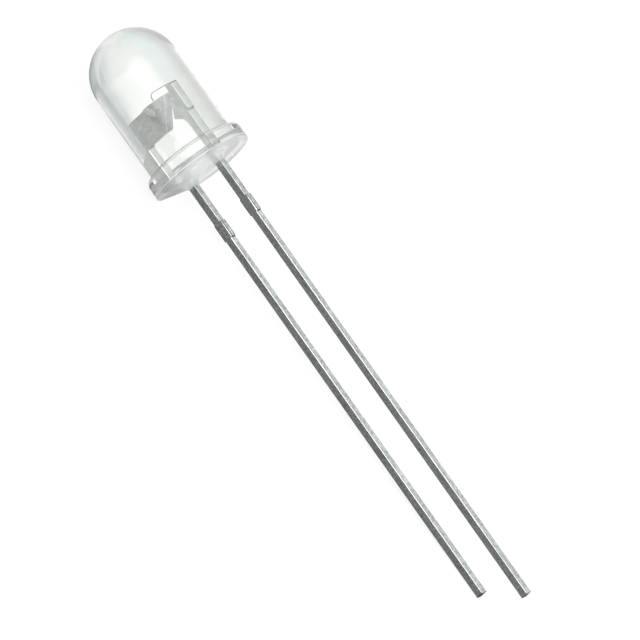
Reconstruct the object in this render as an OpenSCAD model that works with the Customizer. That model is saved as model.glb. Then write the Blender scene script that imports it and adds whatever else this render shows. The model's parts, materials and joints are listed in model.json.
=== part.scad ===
// A clear round through hole LED: an epoxy casting around a two-legged lead frame,
// with a light chip in the reflector cup of one lead and a bond wire to the other.
// The modules below draw it upright: the optical axis is Z with the dome up, the underside
// of the flange is at z = 0, and X points from the cathode leg to the anode leg.
// at_rest() then lays it down the way it comes to rest on a table.

/* [Epoxy casting] */
// Diameter of the round barrel and of the dome
lens_d = 5.0; // [4.8:0.1:5.2]
// Height from the underside of the flange to the top of the dome
lens_h = 8.7; // [8:0.1:9.2]
// How far the flange stands out past the barrel
flange_lip = 0.4; // [0.3:0.05:0.5]
// Thickness of the flange
flange_h = 1.0; // [0.8:0.1:1.4]
// How far the flat on the cathode side of the flange stands out past the barrel
flat_step = 0.03; // [0.02:0.01:0.15]
// Radius on the upper edge of the flange; the lower edge, at the open side of the mould, is sharp
flange_edge_r = 0.3; // [0.1:0.05:0.35]
// Height that the epoxy climbs down each leg below the flange
meniscus_h = 0.45; // [0.1:0.05:0.6]

/* [Lead frame] */
// Thickness of the stamped sheet
sheet_t = 0.4; // [0.35:0.05:0.5]
// Width of each leg
leg_w = 0.5; // [0.45:0.05:0.6]
// Distance between the two legs, centre to centre
lead_pitch = 2.54; // [2.5:0.01:2.6]
// Length of the cathode leg below the flange
cathode_len = 27.1; // [20:0.1:30]
// Length of the anode leg below the flange
anode_len = 28.8; // [21:0.1:32]
// Distance from the flange down to the middle of the cut tie bar stubs
tie_bar_drop = 3.25; // [2:0.05:5]
// Length of each tie bar stub along its leg
tie_bar_len = 1.12; // [0.8:0.02:1.6]
// How far each tie bar stub stands out from its leg
tie_bar_out = 0.09; // [0.03:0.01:0.15]

/* [Reflector cup and chip] */
// Height of the anvil's top edge and the cup's rim above the flange's underside
anvil_top = 4.2; // [3.9:0.1:4.4]
// Radius of the cup's mouth
cup_mouth_r = 0.5; // [0.4:0.02:0.54]
// Radius of the cup's floor
cup_floor_r = 0.27; // [0.22:0.01:0.3]
// Depth of the cup
cup_depth = 0.38; // [0.3:0.02:0.45]
// Radius of the coined bulge around the cup, at the rim
bulge_r = 0.61; // [0.58:0.01:0.64]
// Height of the coined bulge from its tip to the rim
bulge_h = 0.68; // [0.6:0.02:0.8]
// Side of the square light chip
chip_w = 0.3; // [0.2:0.01:0.34]
// Height of the light chip
chip_h = 0.2; // [0.1:0.01:0.3]
// Thickness of the die attach layer under the chip
attach_t = 0.02; // [0.01:0.005:0.03]

/* [Bond wire] */
// Diameter of the wire
wire_d = 0.038; // [0.03:0.002:0.05]
// Radius of the bend above the chip
wire_bend_r = 0.2; // [0.15:0.01:0.3]
// Height of the loop's top above the post, to the middle of the wire
wire_rise = 0.18; // [0.15:0.01:0.3]
// Distance from the axis to the ball on the chip, on the cathode's side
ball_x = 0.06; // [0:0.01:0.08]
// Distance from the axis to the stitch on the post
stitch_x = 1.2; // [1.15:0.01:1.3]

/* [Hidden] */

$fn = 96;
corner_steps = 6;
// How far the flat's cut reaches past the flange
past = 1;

lens_r = lens_d / 2;
flange_r = lens_r + flange_lip;
flat_dist = lens_r + flat_step;
barrel_top = lens_h - lens_r;
leg_x = lead_pitch / 2;
leg_in = leg_x - leg_w / 2;
leg_out = leg_x + leg_w / 2;

// The anvil's outline, as distances from the axis and heights above the flange's underside
anvil_outer_x = 1.26;
anvil_tip_x = 0.72;
anvil_foot_x = 0.22;
anvil_low = 2.47;
anvil_stem_top = 2.1;

// The post's outline
post_rise = 0.3;
post_top = anvil_top + post_rise;
post_in_x = 1.05;
post_barb_x = 0.41;
post_barb_z = 2.77;
post_chin_x = 0.83;
post_chin_z = 2.46;
post_stem_top = 2.1;
post_shoulder_z = 2.77;

// Inside the epoxy the anvil's stem stands outward of its leg and the post's stem inward of its own,
// by these steps from the leg's inner and outer edge, which start at this height
anvil_step_in = 0.1;
anvil_step_out = 0.03;
post_step_in = 0.09;
post_step_out = 0.11;
stem_step_z = 0.45;
anvil_stem_in = leg_in + anvil_step_in;
anvil_stem_out = leg_out + anvil_step_out;
post_stem_in = leg_in - post_step_in;
post_stem_out = leg_out - post_step_out;

// Corner radii of the stampings, and the height of a step's slope
point_r = 0.04;
barb_r = 0.06;
foot_r = 0.08;
neck_r = 0.1;
shoulder_r = 0.12;
bulge_heel_r = 0.24;
ramp = 0.05;

meniscus_foot_r = 0.52;
meniscus_tip_r = 0.34;

cup_floor_z = anvil_top - cup_depth;
chip_z = cup_floor_z + attach_t;
chip_top = chip_z + chip_h;
// The glue spreads a little past the chip's corners
attach_spread = 0.005;
attach_r = chip_w / sqrt(2) + attach_spread;
ball_r = 0.05;
ball_h = 0.03;
stitch_r = 0.05;
stitch_t = 0.02;

// The wire leaves the bend along the line that touches it and ends at the stitch
wire_r = wire_d / 2;
bend_x = wire_bend_r - ball_x;
bend_z = post_top + wire_rise - wire_bend_r;
stitch_z = post_top + wire_r;
stitch_reach = norm([stitch_x - bend_x, stitch_z - bend_z]);
touch_angle = atan2(stitch_z - bend_z, stitch_x - bend_x) + acos(wire_bend_r / stitch_reach);
wire_run = sqrt(stitch_reach * stitch_reach - wire_bend_r * wire_bend_r);

// Lying down, it rests on the lower edge of the flange's flat and on the cathode leg's end
rest_tilt = atan((flat_dist - leg_out) / cathode_len);

epoxy_colour = [0.90, 0.93, 0.92, 0.35];
lead_colour = [0.72, 0.73, 0.75];
chip_colour = [0.78, 0.72, 0.45];
attach_colour = [0.80, 0.80, 0.82];
wire_colour = [0.90, 0.70, 0.30];

function unit(v) = v / norm(v);

// The arc that rounds corner b with radius r between its neighbours a and c
function rounded_corner(a, b, c, r) =
    let (
        to_a = unit(a - b),
        to_c = unit(c - b),
        half = acos(to_a * to_c) / 2,
        centre = b + unit(to_a + to_c) * r / sin(half),
        first = b + to_a * r / tan(half) - centre,
        last = b + to_c * r / tan(half) - centre,
        sweep = 180 - 2 * half
    )
    [
        for (i = [0 : corner_steps])
            let (t = i / corner_steps)
            centre + (sin((1 - t) * sweep) * first + sin(t * sweep) * last) / sin(sweep)
    ];

// A closed outline from corners given as [x, z, radius], where radius 0 keeps a corner sharp
function rounded_outline(corners) =
    let (n = len(corners), flat = [for (c = corners) [c[0], c[1]]])
    [
        for (i = [0 : n - 1])
            let (before = flat[(i + n - 1) % n], after = flat[(i + 1) % n], r = corners[i][2])
            each (r > 0 ? rounded_corner(before, flat[i], after, r) : [flat[i]])
    ];

// The four corners of a tie bar stub on the edge at x, standing out toward side
function stub(x, side, rising) =
    let (
        low = -tie_bar_drop - tie_bar_len / 2,
        high = -tie_bar_drop + tie_bar_len / 2,
        out = x + side * tie_bar_out,
        up = [[x, low, 0], [out, low + ramp, 0], [out, high - ramp, 0], [x, high, 0]]
    )
    rising ? up : [for (i = [3 : -1 : 0]) up[i]];

// Lays the upright part down with the cathode side below and the dome toward -X
module at_rest() {
    rotate([0, rest_tilt - 90, 0]) children();
}

// A plate of the lead frame's sheet, from an outline in X and Z
module stamping(outline) {
    rotate([90, 0, 0]) linear_extrude(sheet_t, center = true) polygon(outline);
}

module lens_profile() {
    square([flange_r - flange_edge_r, flange_h]);
    square([flange_r, flange_h - flange_edge_r]);
    translate([flange_r - flange_edge_r, flange_h - flange_edge_r]) circle(flange_edge_r);
    square([lens_r, barrel_top]);
    intersection() {
        translate([0, barrel_top]) circle(lens_r);
        translate([0, barrel_top]) square([lens_r, lens_r]);
    }
}

module menisci() {
    for (side = [-1, 1]) {
        translate([side * leg_x, 0, 0])
            rotate([180, 0, 0]) cylinder(r1 = meniscus_foot_r, r2 = meniscus_tip_r, h = meniscus_h);
    }
}

module flat_cut() {
    translate([-flat_dist - past, -flange_r, -past]) cube([past, 2 * flange_r, flange_h + 2 * past]);
}

module cathode_shape() {
    outline = rounded_outline(concat(
        [[-leg_out, -cathode_len, 0], [-leg_in, -cathode_len, 0]],
        stub(-leg_in, 1, true),
        [
            [-leg_in, stem_step_z - 2 * ramp, 0],
            [-anvil_stem_in, stem_step_z, 0],
            [-anvil_stem_in, anvil_low, shoulder_r],
            [-anvil_foot_x, anvil_low, foot_r],
            [anvil_tip_x, anvil_top, point_r],
            [-anvil_outer_x, anvil_top, shoulder_r],
            [-anvil_outer_x, anvil_low, neck_r],
            [-anvil_stem_out, anvil_stem_top, neck_r],
            [-anvil_stem_out, stem_step_z, 0],
            [-leg_out, stem_step_z - ramp, 0]
        ],
        stub(-leg_out, -1, false)
    ));
    difference() {
        union() {
            stamping(outline);
            rotate_extrude() polygon(rounded_outline([
                [0, anvil_top - bulge_h, 0],
                [bulge_r / 2, anvil_top - bulge_h, bulge_heel_r],
                [bulge_r, anvil_top, 0],
                [0, anvil_top, 0]
            ]));
        }
        translate([0, 0, cup_floor_z]) cylinder(r1 = cup_floor_r, r2 = cup_mouth_r, h = cup_depth);
    }
}

module anode_shape() {
    stamping(rounded_outline(concat(
        [[leg_in, -anode_len, 0], [leg_out, -anode_len, 0]],
        stub(leg_out, 1, true),
        [
            [leg_out, stem_step_z - 2 * ramp, 0],
            [post_stem_out, stem_step_z, 0],
            [post_stem_out, post_shoulder_z - 2 * ramp, 0],
            [leg_out, post_shoulder_z, 0],
            [leg_out, post_top, shoulder_r],
            [post_in_x, post_top, point_r],
            [post_in_x, anvil_top, barb_r],
            [post_barb_x, post_barb_z, point_r],
            [post_chin_x, post_chin_z, neck_r],
            [post_stem_in, post_stem_top, neck_r],
            [post_stem_in, stem_step_z, 0],
            [leg_in, stem_step_z - 2 * ramp, 0]
        ],
        stub(leg_in, -1, false)
    )));
}

module chip_shape() {
    translate([-chip_w / 2, -chip_w / 2, chip_z]) cube([chip_w, chip_w, chip_h]);
}

module attach_shape() {
    translate([0, 0, cup_floor_z]) cylinder(r = attach_r, h = attach_t);
}

module wire_shape() {
    translate([-ball_x, 0, chip_top]) cylinder(r = ball_r, h = ball_h);
    translate([-ball_x, 0, chip_top]) cylinder(r = wire_r, h = bend_z - chip_top);
    translate([bend_x, 0, bend_z])
        rotate([90, 0, 0])
            rotate([0, 0, touch_angle])
                rotate_extrude(angle = 180 - touch_angle)
                    translate([wire_bend_r, 0]) circle(wire_r);
    translate([stitch_x, 0, stitch_z]) rotate([0, -touch_angle, 0]) cylinder(r = wire_r, h = wire_run + wire_r);
    translate([stitch_x, 0, post_top]) cylinder(r = stitch_r, h = stitch_t);
}

module lens_body() {
    color(epoxy_colour) at_rest() difference() {
        union() {
            rotate_extrude() lens_profile();
            menisci();
        }
        flat_cut();
        cathode_shape();
        anode_shape();
        chip_shape();
        attach_shape();
        wire_shape();
    }
}

module cathode_lead() {
    color(lead_colour) at_rest() cathode_shape();
}

module anode_lead() {
    color(lead_colour) at_rest() anode_shape();
}

module led_chip() {
    color(chip_colour) at_rest() chip_shape();
}

module die_attach() {
    color(attach_colour) at_rest() attach_shape();
}

module bond_wire() {
    color(wire_colour) at_rest() wire_shape();
}

lens_body();
cathode_lead();
anode_lead();
led_chip();
die_attach();
bond_wire();
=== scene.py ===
"""The looks of a clear round through hole LED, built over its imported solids.

Lengths are in millimetres in the upright frame of part.scad: Z is the optical axis with the dome
up, z = 0 is the flange's underside, X points from the cathode leg to the anode leg. UPRIGHT takes
them to the row frame, in metres, where the part lies at rest on the floor.
"""
import json
import math

import bmesh
import bpy
from mathutils import Matrix, Vector, noise


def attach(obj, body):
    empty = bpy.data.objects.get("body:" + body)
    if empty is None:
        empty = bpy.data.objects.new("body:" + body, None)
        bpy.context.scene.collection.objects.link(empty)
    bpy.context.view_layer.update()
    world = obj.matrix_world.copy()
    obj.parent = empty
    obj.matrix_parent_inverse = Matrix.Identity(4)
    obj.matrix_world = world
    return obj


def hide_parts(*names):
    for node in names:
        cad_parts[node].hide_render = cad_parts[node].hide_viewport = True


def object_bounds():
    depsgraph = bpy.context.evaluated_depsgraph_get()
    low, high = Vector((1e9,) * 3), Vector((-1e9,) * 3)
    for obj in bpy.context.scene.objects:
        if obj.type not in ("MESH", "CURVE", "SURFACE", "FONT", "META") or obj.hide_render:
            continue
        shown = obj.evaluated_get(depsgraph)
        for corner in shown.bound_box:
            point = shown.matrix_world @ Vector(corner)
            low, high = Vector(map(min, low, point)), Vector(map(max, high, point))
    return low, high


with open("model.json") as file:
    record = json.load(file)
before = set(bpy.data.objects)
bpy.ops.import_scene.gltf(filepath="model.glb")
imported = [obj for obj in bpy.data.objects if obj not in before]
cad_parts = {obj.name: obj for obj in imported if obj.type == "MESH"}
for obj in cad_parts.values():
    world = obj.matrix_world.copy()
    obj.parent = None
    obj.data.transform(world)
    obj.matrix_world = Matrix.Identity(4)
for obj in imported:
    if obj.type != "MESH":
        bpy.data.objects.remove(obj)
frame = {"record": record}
cad_low, cad_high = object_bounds()

MM = 0.001
MOUNTS = {mount["name"]: mount for mount in frame["record"]["mounts"]}

# The epoxy casting
LENS_R = MOUNTS["lens_barrel"]["dims"]["r_mm"]
LENS_H = 8.7
BARREL_TOP = LENS_H - LENS_R
FLANGE_R = 2.9
FLANGE_H = 1.0
FLANGE_EDGE_R = 0.3
FLANGE_LOW_EDGE_R = 0.04
FLANGE_ROOT_R = 0.06
FLAT_DIST = 2.53
FLAT_CORNER_R = 0.06
BASE_HOLLOW = 0.05
BASE_RIPPLE = 0.035
RIPPLES_PER_MM = 0.9
RIPPLE_LAYER = 3.7
BASE_RIM_W = 0.5
MENISCUS_H = 0.45
MENISCUS_REACH = 0.17
LENS_SEGMENTS = 256
DOME_STEPS = 72
BARREL_STEPS = 24
BASE_STEPS = 64

# The lead frame
SHEET_T = 0.4
LEG_W = 0.5
LEG_X = 1.27
LEG_IN = LEG_X - LEG_W / 2
LEG_OUT = LEG_X + LEG_W / 2
CATHODE_LEN = 27.1
ANODE_LEN = 28.8
TIE_BAR_DROP = 3.25
TIE_BAR_LEN = 1.12
TIE_BAR_OUT = 0.09
STEM_STEP_Z = 0.45
SILVERED_FROM_Z = 0.55
ANVIL_TOP = 4.2
ANVIL_OUTER_X = 1.26
ANVIL_TIP_X = 0.72
ANVIL_FOOT_X = 0.22
ANVIL_LOW = 2.47
ANVIL_STEM_IN = 1.12
ANVIL_STEM_OUT = 1.55
ANVIL_STEM_TOP = 2.1
POST_TOP = 4.5
POST_IN_X = 1.05
POST_BARB = (0.41, 2.77)
POST_CHIN = (0.83, 2.46)
POST_STEM_IN = 0.93
POST_STEM_OUT = 1.41
POST_STEM_TOP = 2.1
POST_SHOULDER_Z = 2.77
RAMP = 0.05

# Corner radii of the stampings' outlines
POINT_R = 0.04
BARB_R = 0.06
FOOT_R = 0.08
NECK_R = 0.1
SHOULDER_R = 0.12
BULGE_HEEL_R = 0.24
CORNER_STEPS = 6

# Widths of the stampings' rounded edges, and how much wider a corner is than its edge
LEG_EDGE_R = 0.055
HEAD_EDGE_R = 0.05
CUT_EDGE_R = 0.02
STUB_EDGE_R = 0.1
EDGE_ROOM = 0.015
EDGE_STEPS = 6

# Where the bare steel of the cuts shows, painted near black as a dark line of shade: above a leg's end, and
# on a stub from this far out
CUT_SETBACK = 0.08
CUT_FROM_OUT = 0.01

# The cup, the chip and the wire
CUP_MOUTH_R = 0.5
CUP_FLOOR_R = 0.27
CUP_DEPTH = 0.38
BULGE_R = 0.61
BULGE_H = 0.68
CHIP_W = 0.3
CHIP_H = 0.2
CHIP_LEAN = 0.012
ATTACH_T = 0.02
CUP_FLOOR_Z = ANVIL_TOP - CUP_DEPTH
CHIP_LOW_Z = CUP_FLOOR_Z + ATTACH_T
CHIP_TOP_Z = CHIP_LOW_Z + CHIP_H
BALL_PROFILE = [(0, 0), (0.046, 0), (0.05, 0.012), (0.042, 0.03), (0, 0.034)]
STITCH_PROFILE = [(0, 0), (0.05, 0), (0.046, 0.014), (0, 0.02)]
WIRE_R = 0.019
WIRE_BEND_R = 0.2
WIRE_TOP = 4.68
BALL_X = -0.06
STITCH_X = 1.2

# The camera: how the photograph looks at the part
LEAD_PLANE_TURN = math.radians(41.8)
LEADS_TOWARD_CAMERA = math.radians(11.5)
LEADS_DOWN_FROM_RIGHT = math.radians(54.75)
PHOTO_WIDTH_MM = 640 / 19.0
SEAT_LEFT_OF_CENTRE_MM = 6.169
SEAT_ABOVE_CENTRE_MM = 7.984
CAMERA_DISTANCE_MM = 1000.0
SENSOR_MM = 36.0

# The floor as light on matt surfaces, as the camera sees it and as it takes the lamp's light
FLOOR_ON_MATT = (0.65, 0.65, 0.65)
FLOOR_TO_CAMERA = (0.8, 0.8, 0.8)
FLOOR_MATT = (0.24, 0.24, 0.24)
FLOOR_HALF_M = 1.0

# How much the floor glows, from front to back in metres: as seen through the epoxy, there toward
# the flange, in the leads outside the epoxy and in the head inside it. Seen through the epoxy the
# glow dips lowest about 1.2 mm behind the axis, a painted shadow under the lens.
FLOOR_SPAN_M = (-0.01, 0.03)
THROUGH_EPOXY_STOPS = [
    (0.0, 0.54), (0.0012, 0.41), (0.0019, 0.45), (0.0022, (0.52, 0.55, 0.55)), (0.0026, (0.64, 0.70, 0.70)),
    (0.0029, (0.69, 0.72, 0.69)), (0.0033, 0.74), (0.00356, 0.70), (0.004, (0.61, 0.63, 0.63)),
    (0.0047, (0.51, 0.54, 0.54)), (0.0067, (0.34, 0.38, 0.39)), (0.022, (0.25, 0.29, 0.31)),
]
NEAR_FLANGE_STOPS = [
    (0.0, 0.55), (0.0012, 0.45), (0.0019, 0.50), (0.0022, 0.58), (0.0026, (0.68, 0.72, 0.72)), (0.0029, 0.78),
    (0.0033, 0.79), (0.00356, 0.77), (0.004, 0.73), (0.0047, 0.70), (0.0067, (0.57, 0.60, 0.61)),
    (0.022, (0.48, 0.52, 0.54)),
]
NEAR_FLANGE_SPAN_M = (-0.01, 0.0)
NEAR_FLANGE_SHARE = [(-0.0062, 0.0), (-0.0048, 1.0)]
IN_TIN_STOPS = [(-0.0005, 0.0), (0.0015, 0.65), (0.012, 0.65), (0.03, 0.35)]
IN_SILVER_SPAN_M = (-0.03, 0.002)
IN_SILVER_STOPS = [
    (-0.028, 0.30), (-0.0061, 0.26), (-0.0044, 0.19), (-0.0037, 0.12), (-0.0033, 0.0), (-0.00305, 0.0),
    (-0.0029, 0.68), (-0.0025, 0.68), (-0.0015, 0.40), (0.0015, 0.65),
]

# The room by the sine of the height above the horizon
BEHIND_STOPS = [
    (-0.02, (0.40, 0.44, 0.46)), (0.1, (0.35, 0.39, 0.41)), (0.25, (0.40, 0.43, 0.44)),
    (0.45, 0.58), (0.7, 0.96), (1.0, 0.45),
]
IN_FRONT_STOPS = [(-0.02, 0.05), (0.22, 0.07), (0.45, 0.6), (0.8, 1.0), (1.0, 0.45)]
IN_FRONT_IN_SILVER_STOPS = [(-0.02, 0.7), (0.45, 0.75), (0.8, 1.0), (1.0, 0.45)]
BEHIND_SHARE = [(-0.3, 0.0), (0.3, 1.0)]
TOWARD_LEADS = (0.62, 0.65, 0.66)
TOWARD_LEADS_SHARE = [(0.0, 0.0), (0.35, 1.0)]
ROOM_ON_MATT = (0.85, 0.85, 0.85)
GLOW_TOWARD = (0.1, -0.53, 0.85)
GLOW_STOPS = [(0.8, 0.0), (0.96, 1.0)]
GLOW_STRENGTH = 2.0

# The lamp, whose light only matt surfaces show
CEILING_TOWARD = (0.1, -0.45, 0.9)
CEILING_DISTANCE_M = 0.3
CEILING_SIZE_M = 0.3
CEILING_RADIANCE = 1.2

EPOXY_IOR = 1.55


def upright_matrix():
    """From upright millimetres to row metres, by the seating face that the record states."""
    toward_leads = Vector(MOUNTS["seating_face"]["axis"]).normalized()
    up = -toward_leads
    back = Vector((0, 1, 0))
    toward_anode = back.cross(up)
    rotation = Matrix((toward_anode, back, up)).transposed()
    return Matrix.Scale(MM, 4) @ rotation.to_4x4()


UPRIGHT = upright_matrix()


# Shapes

def rounded_corner(a, b, c, radius):
    """Points of the arc that rounds corner b between its neighbours a and c."""
    to_a = (a - b).normalized()
    to_c = (c - b).normalized()
    half = to_a.angle(to_c) / 2
    centre = b + (to_a + to_c).normalized() * radius / math.sin(half)
    first = b + to_a * radius / math.tan(half) - centre
    last = b + to_c * radius / math.tan(half) - centre
    sweep = math.pi - 2 * half
    points = []
    for i in range(CORNER_STEPS + 1):
        t = i / CORNER_STEPS
        blend = math.sin((1 - t) * sweep) * first + math.sin(t * sweep) * last
        points.append(centre + blend / math.sin(sweep))
    return points


def rounded_outline(corners):
    """A closed outline from corners (x, z, radius, edge), as points with the width of their edge."""
    flat = [Vector(corner[:2]) for corner in corners]
    outline = []
    for i, (_, _, radius, edge) in enumerate(corners):
        before, after = flat[i - 1], flat[(i + 1) % len(flat)]
        wide = max(radius, edge + EDGE_ROOM)
        arc = rounded_corner(before, flat[i], after, wide) if radius > 0 else [flat[i]]
        outline.extend((point, edge) for point in arc)
    return outline


def stub(x, side, rising):
    """The four corners of a cut tie bar stub on the edge at x, whose edges are tighter."""
    low = -TIE_BAR_DROP - TIE_BAR_LEN / 2
    high = -TIE_BAR_DROP + TIE_BAR_LEN / 2
    out = x + side * TIE_BAR_OUT
    up = [
        (x, low, 0, LEG_EDGE_R),
        (out, low + RAMP, 0, STUB_EDGE_R),
        (out, high - RAMP, 0, STUB_EDGE_R),
        (x, high, 0, LEG_EDGE_R),
    ]
    return up if rising else up[::-1]


def leg_end(inner, outer, length):
    """The cut end of a leg, where the rounded edges of the leg stop short of the cut."""
    return [
        (outer, CUT_SETBACK - length, 0, LEG_EDGE_R),
        (outer, -length, 0, CUT_EDGE_R),
        (inner, -length, 0, CUT_EDGE_R),
        (inner, CUT_SETBACK - length, 0, LEG_EDGE_R),
    ]


def inset(outline, share):
    """The outline moved inward by a share of each point's edge width."""
    moved = []
    for i, (point, edge) in enumerate(outline):
        before = (point - outline[i - 1][0]).normalized()
        after = (outline[(i + 1) % len(outline)][0] - point).normalized()
        normal_before = Vector((-before.y, before.x))
        normal_after = Vector((-after.y, after.x))
        mitre = normal_before + normal_after
        mitre /= max(mitre.dot(normal_before), 0.5)
        moved.append(point + mitre * edge * share)
    return moved


def stamped_plate(outline):
    """A plate of the lead frame's sheet with rounded edges all round, centred on y = 0. Its faces
    are split where the silvered head begins."""
    mesh = bmesh.new()
    rings = []
    for face in (-1, 1):
        steps = range(EDGE_STEPS + 1) if face < 0 else range(EDGE_STEPS, -1, -1)
        for step in steps:
            angle = math.pi / 2 * step / EDGE_STEPS
            depth = 1 - math.cos(angle)
            points = zip(inset(outline, 1 - math.sin(angle)), outline)
            rings.append([
                mesh.verts.new((p.x, face * (SHEET_T / 2 - edge * depth), p.y))
                for p, (_, edge) in points
            ])
    close_with_caps(mesh, rings)
    everything = mesh.verts[:] + mesh.edges[:] + mesh.faces[:]
    bmesh.ops.bisect_plane(mesh, geom=everything, plane_co=(0, 0, SILVERED_FROM_Z), plane_no=(0, 0, 1))
    return mesh


def join_rings(mesh, lower, upper):
    """A band of four-sided faces between two closed rings with as many points."""
    for i in range(len(lower)):
        k = (i + 1) % len(lower)
        mesh.faces.new((lower[i], upper[i], upper[k], lower[k]))


def revolved(profile, segments):
    """A closed solid of revolution about Z from a profile (r, z) that starts and ends on the axis."""
    mesh = bmesh.new()
    first = mesh.verts.new((0, 0, profile[0][1]))
    last = mesh.verts.new((0, 0, profile[-1][1]))
    rings = []
    for r, z in profile[1:-1]:
        turns = [2 * math.pi * i / segments for i in range(segments)]
        rings.append([mesh.verts.new((r * math.cos(t), r * math.sin(t), z)) for t in turns])
    close_with_poles(mesh, first, rings, last)
    return mesh


def close_with_caps(mesh, rings):
    """Faces through the rings, with a flat cap on the first and on the last."""
    for lower, upper in zip(rings, rings[1:]):
        join_rings(mesh, lower, upper)
    mesh.faces.new(rings[0])
    mesh.faces.new(rings[-1][::-1])


def square_corners(half):
    return [(-half, -half), (half, -half), (half, half), (-half, half)]


def close_with_poles(mesh, first, rings, last):
    """Faces from one pole through the rings to the other."""
    for lower, upper in zip(rings, rings[1:]):
        join_rings(mesh, lower, upper)
    for i in range(len(rings[0])):
        k = (i + 1) % len(rings[0])
        mesh.faces.new((first, rings[0][i], rings[0][k]))
        mesh.faces.new((last, rings[-1][k], rings[-1][i]))


def tube(path, radius, sides):
    """A closed round tube along a path in the plane y = 0."""
    mesh = bmesh.new()
    rings = []
    for i, point in enumerate(path):
        ahead = path[min(i + 1, len(path) - 1)]
        behind = path[max(i - 1, 0)]
        along = (ahead - behind).normalized()
        across = along.cross(Vector((0, 1, 0)))
        ring = []
        for k in range(sides):
            turn = 2 * math.pi * k / sides
            offset = across * math.cos(turn) + Vector((0, 1, 0)) * math.sin(turn)
            ring.append(mesh.verts.new(point + offset * radius))
        rings.append(ring)
    close_with_caps(mesh, rings)
    return mesh


def merged(*meshes):
    """One bmesh that holds the faces of all of them."""
    whole = bmesh.new()
    for mesh in meshes:
        part = bpy.data.meshes.new("part")
        mesh.to_mesh(part)
        mesh.free()
        whole.from_mesh(part)
        bpy.data.meshes.remove(part)
    return whole


def plain_object(name, mesh):
    """An object in upright millimetres, with its normals outward, for boolean work."""
    bmesh.ops.recalc_face_normals(mesh, faces=mesh.faces)
    data = bpy.data.meshes.new(name)
    mesh.to_mesh(data)
    mesh.free()
    thing = bpy.data.objects.new(name, data)
    bpy.context.scene.collection.objects.link(thing)
    return thing


def boolean(thing, other, operation):
    """The exact boolean of two objects, left on the first; the second goes."""
    step = thing.modifiers.new(operation, "BOOLEAN")
    step.operation = operation
    step.solver = "EXACT"
    step.object = other
    depsgraph = bpy.context.evaluated_depsgraph_get()
    result = bpy.data.meshes.new_from_object(thing.evaluated_get(depsgraph))
    thing.modifiers.clear()
    thing.data = result
    bpy.data.objects.remove(other)
    return thing


def make_piece(name, mesh, materials, replaced, crease_deg=30, choose=None):
    """A finished piece in the row frame, riding on the root body in place of its CAD node. Each
    face gets the material whose number choose gives for its centre in upright millimetres."""
    piece = mesh if isinstance(mesh, bpy.types.Object) else plain_object(name, mesh)
    piece.name = name
    for material in materials:
        piece.data.materials.append(material)
    for polygon in piece.data.polygons:
        polygon.use_smooth = True
        polygon.material_index = choose(polygon.center) if choose else 0
    piece.data.transform(UPRIGHT)
    piece.data.set_sharp_from_angle(angle=math.radians(crease_deg))
    even = piece.modifiers.new("even_normals", "WEIGHTED_NORMAL")
    even.keep_sharp = True
    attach(piece, "root")
    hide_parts(replaced)
    return piece


# Material helpers

def new_material(name):
    material = bpy.data.materials.new(name)
    material.use_nodes = True
    tree = material.node_tree
    return material, tree, tree.nodes["Principled BSDF"]


def add_node(tree, kind, values=(), **settings):
    """A node with its input values, given as (name or number, value), and its settings."""
    made = tree.nodes.new(kind)
    for key, value in settings.items():
        setattr(made, key, value)
    for name, value in values:
        made.inputs[name].default_value = value
    return made


def stretched_noise(tree, per_m, detail=4.0):
    """Noise in the row frame with its own number of cells per metre along X, Y and Z."""
    place = add_node(tree, "ShaderNodeTexCoord")
    stretch = add_node(tree, "ShaderNodeMapping", [("Scale", per_m)])
    grain = add_node(tree, "ShaderNodeTexNoise", [("Scale", 1.0), ("Detail", detail)])
    tree.links.new(place.outputs["Object"], stretch.inputs["Vector"])
    tree.links.new(stretch.outputs["Vector"], grain.inputs["Vector"])
    return grain.outputs["Fac"]


def ranged(tree, source, low, high, from_low=0.3, from_high=0.7):
    """A value from source, spread between low and high."""
    spread = add_node(
        tree,
        "ShaderNodeMapRange",
        [("From Min", from_low), ("From Max", from_high), ("To Min", low), ("To Max", high)],
    )
    tree.links.new(source, spread.inputs["Value"])
    return spread.outputs["Result"]


def two_grains(tree, coarse, fine, fine_share):
    """A coarse and a fine noise, each spread from 0 to 1, as one."""
    mix = add_node(tree, "ShaderNodeMix", [("Factor", fine_share)])
    tree.links.new(ranged(tree, coarse, 0, 1), mix.inputs["A"])
    tree.links.new(ranged(tree, fine, 0, 1, 0.4, 0.6), mix.inputs["B"])
    return mix.outputs["Result"]


def mixed_colour(tree, share, first, second, blend="MIX"):
    """From the first colour, at a share of 0, to the second, at 1. Each is a link or a value."""
    mix = add_node(tree, "ShaderNodeMix", data_type="RGBA", blend_type=blend)
    tree.links.new(share, mix.inputs["Factor"])
    for name, colour in (("A", first), ("B", second)):
        if isinstance(colour, tuple):
            mix.inputs[name].default_value = (*colour, 1)
        else:
            tree.links.new(colour, mix.inputs[name])
    return mix.outputs["Result"]


def ramped(tree, source, low, high, stops):
    """A colour that follows source from low to high through stops of (source value, grey or colour)."""
    spread = add_node(tree, "ShaderNodeMapRange", [("From Min", low), ("From Max", high)])
    ramp = add_node(tree, "ShaderNodeValToRGB")
    ramp.color_ramp.interpolation = "EASE"
    elements = ramp.color_ramp.elements
    elements.remove(elements[1])
    for i, (value, colour) in enumerate(stops):
        position = (value - low) / (high - low)
        element = elements[0] if i == 0 else elements.new(position)
        element.position = position
        element.color = (*colour, 1) if isinstance(colour, tuple) else (colour, colour, colour, 1)
    tree.links.new(source, spread.inputs["Value"])
    tree.links.new(spread.outputs["Result"], ramp.inputs["Fac"])
    return ramp.outputs["Color"]


def bumped(tree, source, height_m, strength=1.0, under=None):
    """A normal that source raises by height_m, over the normal under it where there is one."""
    bump = add_node(tree, "ShaderNodeBump", [("Strength", strength), ("Distance", height_m)])
    tree.links.new(source, bump.inputs["Height"])
    if under:
        tree.links.new(under, bump.inputs["Normal"])
    return bump.outputs["Normal"]


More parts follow.
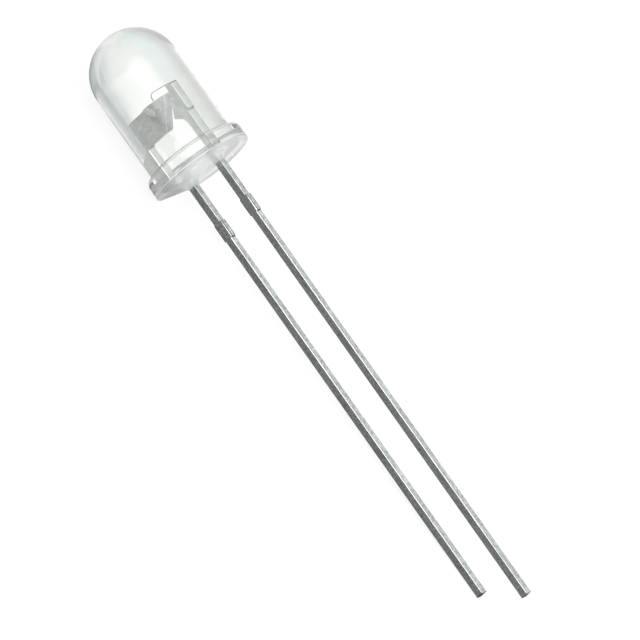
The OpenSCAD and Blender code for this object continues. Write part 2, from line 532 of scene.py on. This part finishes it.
def calculated(tree, operation, first, second):
    """A sum, product or the like of a link and of another link or a number."""
    result = add_node(tree, "ShaderNodeMath", operation=operation)
    tree.links.new(first, result.inputs[0])
    if isinstance(second, float):
        result.inputs[1].default_value = second
    else:
        tree.links.new(second, result.inputs[1])
    return result.outputs["Value"]


def bounced(tree, path, depth):
    """1 for light that was reflected, or came through the epoxy, once or more on its way, else 0."""
    return calculated(tree, "MINIMUM", path.outputs[depth], 1.0)


def added(tree, first, second):
    both = add_node(tree, "ShaderNodeAddShader")
    tree.links.new(first.outputs[0], both.inputs[0])
    tree.links.new(second.outputs[0], both.inputs[1])
    return both.outputs[0]


# Materials

def moulded_epoxy(name, transmission):
    """The faces that the mould gave their polish, clear or, on the flange, a little milky."""
    material, tree, shader = new_material(name)
    shader.inputs["Base Color"].default_value = (0.975, 0.99, 0.965, 1)
    shader.inputs["IOR"].default_value = EPOXY_IOR
    shader.inputs["Transmission Weight"].default_value = transmission
    peel = stretched_noise(tree, (900, 900, 900), detail=2.0)
    tree.links.new(ranged(tree, peel, 0.0, 0.035), shader.inputs["Roughness"])
    tree.links.new(bumped(tree, peel, 0.000004), shader.inputs["Normal"])
    return material


def frosted_epoxy():
    """The underside, which set open to the air and is hazy and uneven."""
    material, tree, shader = new_material("frosted_epoxy")
    shader.inputs["Base Color"].default_value = (0.98, 0.99, 0.985, 1)
    shader.inputs["IOR"].default_value = EPOXY_IOR
    shader.inputs["Transmission Weight"].default_value = 0.45
    haze = stretched_noise(tree, (1800, 1800, 1800), detail=3.0)
    tree.links.new(ranged(tree, haze, 0.0, 0.05), shader.inputs["Roughness"])
    tree.links.new(bumped(tree, haze, 0.00004), shader.inputs["Normal"])
    return material


def tinned_steel(name, dark, light):
    """Tin over steel: drawn along the leads, cloudy between dark and light, with fine grains and a
    surface that wavers."""
    material, tree, shader = new_material(name)
    shader.inputs["Metallic"].default_value = 1.0
    drawn = stretched_noise(tree, (400, 24000, 24000))
    cloud = stretched_noise(tree, (900, 2500, 2500), detail=6.0)
    speck = stretched_noise(tree, (6000, 10000, 10000), detail=3.0)
    waver = stretched_noise(tree, (900, 4000, 4000), detail=2.0)
    tint = mixed_colour(tree, two_grains(tree, cloud, speck, 0.6), dark, light)
    tree.links.new(tint, shader.inputs["Base Color"])
    tree.links.new(ranged(tree, drawn, 0.18, 0.32), shader.inputs["Roughness"])
    fine = calculated(tree, "ADD", drawn, speck)
    wavy = bumped(tree, waver, 0.00003)
    tree.links.new(bumped(tree, fine, 0.000005, 0.5, wavy), shader.inputs["Normal"])
    return material


def silvered_steel():
    """Silver over steel, as on the head inside the epoxy: smoother than tin and softly clouded."""
    material, tree, shader = new_material("silvered_steel")
    shader.inputs["Metallic"].default_value = 1.0
    cloud = stretched_noise(tree, (1500, 1500, 1500), detail=3.0)
    pits = stretched_noise(tree, (9000, 9000, 9000), detail=2.0)
    grains = two_grains(tree, cloud, pits, 0.35)
    tint = mixed_colour(tree, grains, (0.73, 0.755, 0.75), (0.92, 0.945, 0.935))
    tree.links.new(tint, shader.inputs["Base Color"])
    tree.links.new(ranged(tree, cloud, 0.16, 0.28), shader.inputs["Roughness"])
    tree.links.new(bumped(tree, cloud, 0.00001), shader.inputs["Normal"])
    return material


def cut_steel_painted_dark():
    """The bare, torn steel of a cut that was made after the tinning, painted near black as a dark line of
    shade.
    """
    material, tree, shader = new_material("cut_steel_painted_dark")
    shader.inputs["Metallic"].default_value = 1.0
    torn = stretched_noise(tree, (9000, 9000, 9000))
    tint = mixed_colour(tree, ranged(tree, torn, 0, 1), (0.03, 0.03, 0.03), (0.16, 0.16, 0.155))
    tree.links.new(tint, shader.inputs["Base Color"])
    tree.links.new(ranged(tree, torn, 0.35, 0.55), shader.inputs["Roughness"])
    tree.links.new(bumped(tree, torn, 0.00002), shader.inputs["Normal"])
    return material


def chip_crystal():
    material, tree, shader = new_material("chip_crystal")
    grain = stretched_noise(tree, (20000, 20000, 20000))
    tint = mixed_colour(tree, ranged(tree, grain, 0, 1), (0.50, 0.46, 0.27), (0.62, 0.58, 0.36))
    tree.links.new(tint, shader.inputs["Base Color"])
    tree.links.new(ranged(tree, grain, 0.2, 0.35), shader.inputs["Roughness"])
    return material


def silver_glue():
    material, tree, shader = new_material("silver_glue")
    shader.inputs["Metallic"].default_value = 0.6
    flakes = stretched_noise(tree, (60000, 60000, 60000))
    tint = mixed_colour(tree, ranged(tree, flakes, 0, 1), (0.5, 0.5, 0.52), (0.78, 0.78, 0.8))
    tree.links.new(tint, shader.inputs["Base Color"])
    tree.links.new(ranged(tree, flakes, 0.4, 0.7), shader.inputs["Roughness"])
    tree.links.new(bumped(tree, flakes, 0.000004), shader.inputs["Normal"])
    return material


# Gold painted far darker than gold's own colour: painted shade that makes the thin wire show dark
def gold_painted_dark():
    material, tree, shader = new_material("gold_painted_dark")
    shader.inputs["Metallic"].default_value = 1.0
    drawn = stretched_noise(tree, (60000, 60000, 60000), detail=2.0)
    tint = mixed_colour(tree, ranged(tree, drawn, 0, 1), (0.08, 0.06, 0.03), (0.16, 0.12, 0.06))
    tree.links.new(tint, shader.inputs["Base Color"])
    tree.links.new(ranged(tree, drawn, 0.15, 0.3), shader.inputs["Roughness"])
    return material


# The epoxy casting

def arc_points(centre_r, centre_z, radius, start_deg, end_deg, steps):
    """Profile points (r, z) on an arc, both ends included."""
    points = []
    for i in range(steps + 1):
        turn = math.radians(start_deg + (end_deg - start_deg) * i / steps)
        points.append((centre_r + radius * math.cos(turn), centre_z + radius * math.sin(turn)))
    return points


def lens_profile():
    """From the top of the dome down the barrel and round the flange to its underside."""
    dome = arc_points(0, BARREL_TOP, LENS_R, 89.0, 0, DOME_STEPS)
    root_z = FLANGE_H + FLANGE_ROOT_R
    barrel = [
        (LENS_R, BARREL_TOP + (root_z - BARREL_TOP) * i / BARREL_STEPS)
        for i in range(1, BARREL_STEPS)
    ]
    root = arc_points(LENS_R + FLANGE_ROOT_R, root_z, FLANGE_ROOT_R, 180, 270, 5)
    edge = FLANGE_R - FLANGE_EDGE_R
    top_edge = arc_points(edge, FLANGE_H - FLANGE_EDGE_R, FLANGE_EDGE_R, 90, 0, 8)
    side = [(FLANGE_R, FLANGE_H * share) for share in (0.5, 0.3, 0.15)]
    low = FLANGE_LOW_EDGE_R
    low_edge = arc_points(FLANGE_R - low, low, low, 0, -90, 6)
    return dome + barrel + root + top_edge + side + low_edge


def flange_reach(turn):
    """How far the flange reaches from the axis in a direction, with the flat's corners eased."""
    toward_flat = -math.cos(turn)
    if toward_flat <= 0.5:
        return FLANGE_R
    flat = FLAT_DIST / toward_flat
    share = max(0.0, 1 - abs(flat - FLANGE_R) / FLAT_CORNER_R)
    return min(flat, FLANGE_R) - FLAT_CORNER_R * share * share / 4


def lens_point(r, z, turn):
    """A point of a ring, where what lies outside the barrel is drawn in to the flat."""
    if r > LENS_R:
        r = LENS_R + (r - LENS_R) * (flange_reach(turn) - LENS_R) / (FLANGE_R - LENS_R)
    return Vector((r * math.cos(turn), r * math.sin(turn), z))


def base_height(x, y):
    """The underside: hollowed and rippled as the epoxy set, and drawn down along each leg."""
    r = math.hypot(x, y)
    rim = min(1.0, max(0.0, (FLANGE_R - FLANGE_LOW_EDGE_R - r) / BASE_RIM_W))
    ripple = noise.noise(Vector((x * RIPPLES_PER_MM, y * RIPPLES_PER_MM, RIPPLE_LAYER)))
    z = rim * (BASE_HOLLOW * (1 - (r / FLANGE_R) ** 2) + BASE_RIPPLE * ripple)
    for side in (-1, 1):
        out_x = max(abs(x - side * LEG_X) - LEG_W / 2, 0)
        out_y = max(abs(y) - SHEET_T / 2, 0)
        z -= MENISCUS_H * math.exp(-math.hypot(out_x, out_y) / MENISCUS_REACH)
    return z


def lens_body(finishes):
    """The casting's outside, from the top of the dome to the middle of the underside."""
    mesh = bmesh.new()
    turns = [2 * math.pi * i / LENS_SEGMENTS for i in range(LENS_SEGMENTS)]
    rings = []
    for r, z in lens_profile():
        rings.append([mesh.verts.new(lens_point(r, z, turn)) for turn in turns])
    edge = FLANGE_R - FLANGE_LOW_EDGE_R
    for i in range(1, BASE_STEPS):
        r = edge * (1 - i / BASE_STEPS)
        ring = []
        for turn in turns:
            point = lens_point(r, 0, turn)
            point.z = base_height(point.x, point.y)
            ring.append(mesh.verts.new(point))
        rings.append(ring)
    top = mesh.verts.new((0, 0, LENS_H))
    bottom = mesh.verts.new((0, 0, base_height(0, 0)))
    close_with_poles(mesh, top, rings, bottom)
    return make_piece("lens", mesh, finishes, "lens_body", 60, lens_finish)


def lens_finish(centre):
    """2 for the hazy underside, 1 for the milky flange and 0 for the clear barrel and dome."""
    if centre.z < BASE_HOLLOW + BASE_RIPPLE:
        return 2
    return int(centre.z < FLANGE_H + FLANGE_ROOT_R)


# The two leads

def cathode_outline():
    end = leg_end(-LEG_IN, -LEG_OUT, CATHODE_LEN)
    anvil = [
        (-LEG_IN, STEM_STEP_Z - 2 * RAMP, 0, LEG_EDGE_R),
        (-ANVIL_STEM_IN, STEM_STEP_Z, 0, HEAD_EDGE_R),
        (-ANVIL_STEM_IN, ANVIL_LOW, SHOULDER_R, HEAD_EDGE_R),
        (-ANVIL_FOOT_X, ANVIL_LOW, FOOT_R, HEAD_EDGE_R),
        (ANVIL_TIP_X, ANVIL_TOP, POINT_R, HEAD_EDGE_R),
        (-ANVIL_OUTER_X, ANVIL_TOP, SHOULDER_R, HEAD_EDGE_R),
        (-ANVIL_OUTER_X, ANVIL_LOW, NECK_R, HEAD_EDGE_R),
        (-ANVIL_STEM_OUT, ANVIL_STEM_TOP, NECK_R, HEAD_EDGE_R),
        (-ANVIL_STEM_OUT, STEM_STEP_Z, 0, HEAD_EDGE_R),
        (-LEG_OUT, STEM_STEP_Z - RAMP, 0, LEG_EDGE_R),
    ]
    return rounded_outline(end + stub(-LEG_IN, 1, True) + anvil + stub(-LEG_OUT, -1, False))


def anode_outline():
    end = leg_end(LEG_OUT, LEG_IN, ANODE_LEN)
    post = [
        (LEG_OUT, STEM_STEP_Z - 2 * RAMP, 0, LEG_EDGE_R),
        (POST_STEM_OUT, STEM_STEP_Z, 0, HEAD_EDGE_R),
        (POST_STEM_OUT, POST_SHOULDER_Z - 2 * RAMP, 0, HEAD_EDGE_R),
        (LEG_OUT, POST_SHOULDER_Z, 0, HEAD_EDGE_R),
        (LEG_OUT, POST_TOP, SHOULDER_R, HEAD_EDGE_R),
        (POST_IN_X, POST_TOP, POINT_R, HEAD_EDGE_R),
        (POST_IN_X, ANVIL_TOP, BARB_R, HEAD_EDGE_R),
        (*POST_BARB, POINT_R, HEAD_EDGE_R),
        (*POST_CHIN, NECK_R, HEAD_EDGE_R),
        (POST_STEM_IN, POST_STEM_TOP, NECK_R, HEAD_EDGE_R),
        (POST_STEM_IN, STEM_STEP_Z, 0, HEAD_EDGE_R),
        (LEG_IN, STEM_STEP_Z - 2 * RAMP, 0, LEG_EDGE_R),
    ]
    return rounded_outline(end + stub(LEG_OUT, 1, True) + post + stub(LEG_IN, -1, False))


def cup_bulge():
    """The coined metal round the cup, a cone with a rounded tip."""
    low = ANVIL_TOP - BULGE_H
    centre, heel, mouth = Vector((0, low)), Vector((BULGE_R / 2, low)), Vector((BULGE_R, ANVIL_TOP))
    tip = rounded_corner(centre, heel, mouth, BULGE_HEEL_R)
    rim = [(BULGE_R, ANVIL_TOP - 0.03), (BULGE_R - 0.02, ANVIL_TOP)]
    return revolved([(0, low), *[(p.x, p.y) for p in tip], *rim, (0, ANVIL_TOP)], 96)


def cup_hollow():
    """The cone that is taken out of the bulge, carried on above the rim for a clean cut."""
    above = 0.2
    slope = (CUP_MOUTH_R - CUP_FLOOR_R) / CUP_DEPTH
    mouth = CUP_MOUTH_R + slope * above
    high = ANVIL_TOP + above
    return revolved([(0, CUP_FLOOR_Z), (CUP_FLOOR_R, CUP_FLOOR_Z), (mouth, high), (0, high)], 96)


def lead_finish(centre):
    """0 for the tinned leg, 1 for bare steel, painted near black as a dark line of shade, on its cut end
    and on the rim of a cut tie bar stub, 2 for the silvered head and 3 for the leg's rounded edges,
    burnished and painted lighter as their highlight."""
    if centre.z > SILVERED_FROM_Z:
        return 2
    if centre.z < CUT_SETBACK / 4 - (CATHODE_LEN if centre.x < 0 else ANODE_LEN):
        return 1
    along = abs(centre.z + TIE_BAR_DROP) / (TIE_BAR_LEN / 2)
    out = abs(abs(centre.x) - LEG_X) - LEG_W / 2
    steep = TIE_BAR_OUT - STUB_EDGE_R * (1 - math.sin(math.radians(60)))
    on_rim = abs(centre.y) > SHEET_T / 2 - STUB_EDGE_R and out > steep
    cut = along < 1 and out > CUT_FROM_OUT and (on_rim or along > 1 - RAMP / TIE_BAR_LEN)
    on_edge = SHEET_T / 2 - LEG_EDGE_R < abs(centre.y) < SHEET_T / 2 - 0.001
    return 1 if cut else 3 * int(on_edge and along > 1)


def cathode_lead(finishes):
    thing = plain_object("cathode", stamped_plate(cathode_outline()))
    boolean(thing, plain_object("bulge", cup_bulge()), "UNION")
    boolean(thing, plain_object("hollow", cup_hollow()), "DIFFERENCE")
    return make_piece("cathode", thing, finishes, "cathode_lead", 30, lead_finish)


def anode_lead(finishes):
    mesh = stamped_plate(anode_outline())
    return make_piece("anode", mesh, finishes, "anode_lead", 30, lead_finish)


# The chip and what joins it

def led_chip(material):
    """A block whose sides lean in a little towards the saw cut at its top."""
    mesh = bmesh.new()
    saw_cut_z = CHIP_LOW_Z + CHIP_H * 0.7
    levels = [(CHIP_W, CHIP_LOW_Z), (CHIP_W, saw_cut_z), (CHIP_W - 2 * CHIP_LEAN, CHIP_TOP_Z)]
    rings = []
    for width, z in levels:
        rings.append([mesh.verts.new((x, y, z)) for x, y in square_corners(width / 2)])
    close_with_caps(mesh, rings)
    return make_piece("chip", mesh, [material], "led_chip")


def die_attach(material):
    """A thin round layer of glue that climbs a little round the chip."""
    low, high = CUP_FLOOR_Z, CHIP_LOW_Z
    radius = CHIP_W * 0.72
    edge = [(radius, low), (radius * 0.98, low + ATTACH_T * 0.6), (radius * 0.9, high)]
    profile = [(0, low), *edge, (0, high)]
    return make_piece("glue", revolved(profile, 64), [material], "die_attach")


def wire_path():
    """Up from the chip, round the bend and straight down to the stitch on the post."""
    bend = Vector((BALL_X + WIRE_BEND_R, 0, WIRE_TOP - WIRE_BEND_R))
    stitch = Vector((STITCH_X, 0, POST_TOP + WIRE_R))
    reach = (stitch - bend).length
    touch = math.atan2(stitch.z - bend.z, stitch.x - bend.x) + math.acos(WIRE_BEND_R / reach)
    path = [Vector((BALL_X, 0, CHIP_TOP_Z + (bend.z - CHIP_TOP_Z) * i / 6)) for i in range(6)]
    bend_steps = 16
    for i in range(bend_steps + 1):
        turn = math.pi + (touch - math.pi) * i / bend_steps
        path.append(bend + Vector((math.cos(turn), 0, math.sin(turn))) * WIRE_BEND_R)
    return path + [path[-1].lerp(stitch, i / 6) for i in range(1, 7)]


def bond_wire(material):
    """The wire with its ball on the chip and its stitch on the post."""
    ball = revolved([(r, CHIP_TOP_Z + z) for r, z in BALL_PROFILE], 32)
    bmesh.ops.translate(ball, verts=ball.verts, vec=(BALL_X, 0, 0))
    stitch = revolved(STITCH_PROFILE, 32)
    bmesh.ops.translate(stitch, verts=stitch.verts, vec=(STITCH_X, 0, POST_TOP))
    mesh = merged(ball, tube(wire_path(), WIRE_R, 16), stitch)
    return make_piece("wire", mesh, [material], "bond_wire")


# The studio

def floor_material():
    """A grey floor whose glow makes it white to the camera and a plain level to matt surfaces. Seen
    through the epoxy, in the tin outside it and in the silver inside it, it has its own greys; through
    the epoxy these hold a painted shadow under the lens."""
    material = bpy.data.materials.new("floor")
    material.cycles.emission_sampling = "NONE"
    material.use_nodes = True
    tree = material.node_tree
    tree.nodes.remove(tree.nodes["Principled BSDF"])
    output = tree.nodes["Material Output"]
    path = add_node(tree, "ShaderNodeLightPath")
    place = add_node(tree, "ShaderNodeTexCoord")
    parts = add_node(tree, "ShaderNodeSeparateXYZ")
    tree.links.new(place.outputs["Object"], parts.inputs[0])
    x, y = parts.outputs["X"], parts.outputs["Y"]
    through = mixed_colour(
        tree,
        ramped(tree, x, *NEAR_FLANGE_SPAN_M, NEAR_FLANGE_SHARE),
        ramped(tree, y, *FLOOR_SPAN_M, THROUGH_EPOXY_STOPS),
        ramped(tree, y, *FLOOR_SPAN_M, NEAR_FLANGE_STOPS),
    )
    in_metal = mixed_colour(
        tree,
        bounced(tree, path, "Transmission Depth"),
        ramped(tree, y, *FLOOR_SPAN_M, IN_TIN_STOPS),
        ramped(tree, y, *IN_SILVER_SPAN_M, IN_SILVER_STOPS),
    )
    in_part = mixed_colour(tree, bounced(tree, path, "Glossy Depth"), through, in_metal)
    on_part = mixed_colour(tree, path.outputs["Is Diffuse Ray"], in_part, FLOOR_ON_MATT)
    level = mixed_colour(tree, path.outputs["Is Camera Ray"], on_part, FLOOR_TO_CAMERA)
    matt = add_node(tree, "ShaderNodeBsdfDiffuse", [("Color", (*FLOOR_MATT, 1))])
    glow = add_node(tree, "ShaderNodeEmission")
    tree.links.new(level, glow.inputs["Color"])
    tree.links.new(added(tree, matt, glow), output.inputs["Surface"])
    return material


def studio_floor():
    mesh = bmesh.new()
    mesh.faces.new([mesh.verts.new((x, y, cad_low.z)) for x, y in square_corners(FLOOR_HALF_M)])
    data = bpy.data.meshes.new("floor")
    mesh.to_mesh(data)
    mesh.free()
    data.materials.append(floor_material())
    floor = bpy.data.objects.new("floor", data)
    bpy.context.scene.collection.objects.link(floor)


def room_colour(tree, path, parts):
    """The room round the part: pale above and grey at the horizon behind it. In metal outside the
    epoxy it is dark at the horizon in front, and through the epoxy it is paler toward the leads."""
    height = parts.outputs["Z"]
    behind = ramped(tree, height, -1, 1, BEHIND_STOPS)
    in_front = mixed_colour(
        tree,
        bounced(tree, path, "Transmission Depth"),
        ramped(tree, height, -1, 1, IN_FRONT_STOPS),
        ramped(tree, height, -1, 1, IN_FRONT_IN_SILVER_STOPS),
    )
    in_metal = mixed_colour(tree, ramped(tree, parts.outputs["Y"], -1, 1, BEHIND_SHARE), in_front, behind)
    toward_leads = ramped(tree, parts.outputs["X"], -1, 1, TOWARD_LEADS_SHARE)
    through = mixed_colour(tree, toward_leads, behind, TOWARD_LEADS, "LIGHTEN")
    in_part = mixed_colour(tree, bounced(tree, path, "Glossy Depth"), through, in_metal)
    return mixed_colour(tree, path.outputs["Is Diffuse Ray"], in_part, ROOM_ON_MATT)


def glow_background(tree, path, place):
    """A soft glow above, for metal and epoxy only."""
    glow = add_node(tree, "ShaderNodeBackground")
    above = Vector(GLOW_TOWARD).normalized()
    toward = add_node(tree, "ShaderNodeVectorMath", [(1, above)], operation="DOT_PRODUCT")
    tree.links.new(place.outputs["Generated"], toward.inputs[0])
    tree.links.new(ramped(tree, toward.outputs["Value"], -1, 1, GLOW_STOPS), glow.inputs["Color"])
    glossy, transmitted = path.outputs["Is Glossy Ray"], path.outputs["Is Transmission Ray"]
    in_gloss = calculated(tree, "MAXIMUM", glossy, transmitted)
    tree.links.new(calculated(tree, "MULTIPLY", in_gloss, GLOW_STRENGTH), glow.inputs["Strength"])
    return glow


def studio_world():
    """White to the camera, and to the part a room with a soft glow."""
    world = bpy.data.worlds.new("studio")
    world.use_nodes = True
    tree = world.node_tree
    tree.nodes.clear()
    output = add_node(tree, "ShaderNodeOutputWorld")
    place = add_node(tree, "ShaderNodeTexCoord")
    parts = add_node(tree, "ShaderNodeSeparateXYZ")
    tree.links.new(place.outputs["Generated"], parts.inputs[0])
    path = add_node(tree, "ShaderNodeLightPath")
    room = add_node(tree, "ShaderNodeBackground")
    tree.links.new(room_colour(tree, path, parts), room.inputs["Color"])
    white = add_node(tree, "ShaderNodeBackground", [("Color", (1, 1, 1, 1))])
    switch = add_node(tree, "ShaderNodeMixShader")
    tree.links.new(path.outputs["Is Camera Ray"], switch.inputs["Fac"])
    tree.links.new(added(tree, room, glow_background(tree, path, place)), switch.inputs[1])
    tree.links.new(white.outputs[0], switch.inputs[2])
    tree.links.new(switch.outputs[0], output.inputs["Surface"])
    bpy.context.scene.world = world


def soft_light(name, direction, distance, size, radiance):
    """A square lamp that faces the part, which neither metal nor epoxy shows."""
    lamp = bpy.data.lights.new(name, "AREA")
    lamp.shape = "SQUARE"
    lamp.size = size
    lamp.energy = radiance * math.pi * size * size
    thing = bpy.data.objects.new(name, lamp)
    away = Vector(direction).normalized()
    thing.location = away * distance
    thing.rotation_euler = away.to_track_quat("Z", "Y").to_euler()
    thing.visible_glossy = False
    thing.visible_transmission = False
    bpy.context.scene.collection.objects.link(thing)


def photo_camera():
    """The photograph's view, from how it turns, tips and rolls the lead frame."""
    to_anode = (UPRIGHT.to_3x3() @ Vector((1, 0, 0))).normalized()
    to_dome = (UPRIGHT.to_3x3() @ Vector((0, 0, 1))).normalized()
    sheet_face = (UPRIGHT.to_3x3() @ Vector((0, -1, 0))).normalized()
    level = math.sin(LEAD_PLANE_TURN) * to_anode + math.cos(LEAD_PLANE_TURN) * sheet_face
    across = math.cos(LEAD_PLANE_TURN) * to_anode - math.sin(LEAD_PLANE_TURN) * sheet_face
    toward = math.cos(LEADS_TOWARD_CAMERA) * level - math.sin(LEADS_TOWARD_CAMERA) * to_dome
    along = -math.cos(LEADS_TOWARD_CAMERA) * to_dome - math.sin(LEADS_TOWARD_CAMERA) * level
    right = math.cos(LEADS_DOWN_FROM_RIGHT) * along + math.sin(LEADS_DOWN_FROM_RIGHT) * across
    down = math.sin(LEADS_DOWN_FROM_RIGHT) * along - math.cos(LEADS_DOWN_FROM_RIGHT) * across
    target = (right * SEAT_LEFT_OF_CENTRE_MM + down * SEAT_ABOVE_CENTRE_MM) * MM
    camera_data = bpy.data.cameras.new("camera")
    camera_data.sensor_width = SENSOR_MM
    camera_data.lens = SENSOR_MM * CAMERA_DISTANCE_MM / PHOTO_WIDTH_MM
    camera_data.clip_start = 0.01
    camera = bpy.data.objects.new("camera", camera_data)
    turned = Matrix((right, -down, toward)).transposed().to_4x4()
    camera.matrix_world = Matrix.Translation(target + toward * CAMERA_DISTANCE_MM * MM) @ turned
    bpy.context.scene.collection.objects.link(camera)
    bpy.context.scene.camera = camera


lead_finishes = [
    tinned_steel("tinned_steel", (0.39, 0.42, 0.41), (0.88, 0.92, 0.905)),
    cut_steel_painted_dark(),
    silvered_steel(),
    # The legs' rounded edges: burnished tin, painted lighter than the sheet faces as a painted highlight
    # along the edges
    tinned_steel("burnished_highlight_tin", (0.78, 0.82, 0.805), (0.94, 0.98, 0.965)),
]
lens_body([moulded_epoxy("clear_epoxy", 0.93), moulded_epoxy("milky_epoxy", 0.83), frosted_epoxy()])
cathode_lead(lead_finishes)
anode_lead(lead_finishes)
led_chip(chip_crystal())
die_attach(silver_glue())
bond_wire(gold_painted_dark())
studio_floor()
studio_world()
soft_light("ceiling", CEILING_TOWARD, CEILING_DISTANCE_M, CEILING_SIZE_M, CEILING_RADIANCE)
photo_camera()
bpy.context.scene.view_settings.view_transform = "Standard"
